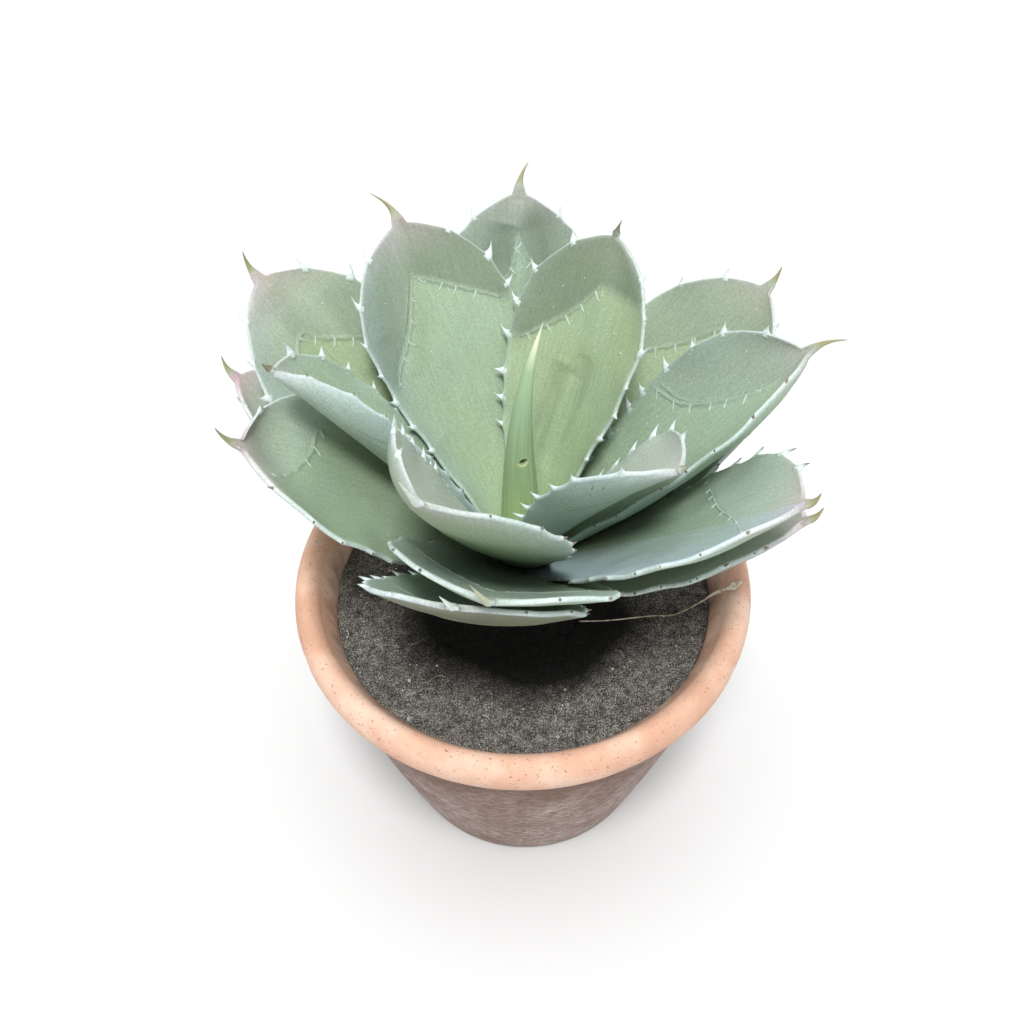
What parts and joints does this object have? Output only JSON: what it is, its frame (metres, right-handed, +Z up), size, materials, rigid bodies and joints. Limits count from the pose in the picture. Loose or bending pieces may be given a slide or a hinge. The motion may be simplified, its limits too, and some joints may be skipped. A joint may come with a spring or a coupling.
{
  "type": "potted agave",
  "caption": "Open agave rosette of broad, toothed leaves that each end in a spine, growing from soil in a round tapered terracotta pot with a rolled rim.",
  "frame": {"origin": "middle of the flat underside of the pot, on the surface that it stands on", "axes": "+Z up, +X to the right and +Y to the back as the picture shows the plant"},
  "size_m": [0.2622, 0.2346, 0.3337],
  "materials": {
    "terracotta": "unglazed, matt, with pale bloom",
    "potting_mix": "fine loose grains, matt",
    "leaf": "waxy bloom, satin to matt",
    "young_leaf": "thin bloom, satin",
    "stem": "fibrous, matt",
    "dry_leaf": "dry, papery"
  },
  "bodies": {
    "root": {"pot": "terracotta", "soil": "potting_mix", "stem": "stem", "dry_fibre": "dry_leaf", "bud": "young_leaf", "leaf_01": "leaf", "leaf_02": "leaf", "leaf_03": "leaf", "leaf_04": "leaf", "leaf_05": "leaf", "leaf_06": "leaf", "leaf_07": "leaf", "leaf_08": "leaf", "leaf_09": "leaf", "leaf_10": "leaf", "leaf_11": "leaf", "leaf_12": "leaf", "leaf_13": "leaf", "leaf_14": "leaf", "leaf_15": "leaf", "leaf_16": "leaf", "leaf_17": "leaf", "leaf_18": "leaf"}
  },
  "joints": []
}
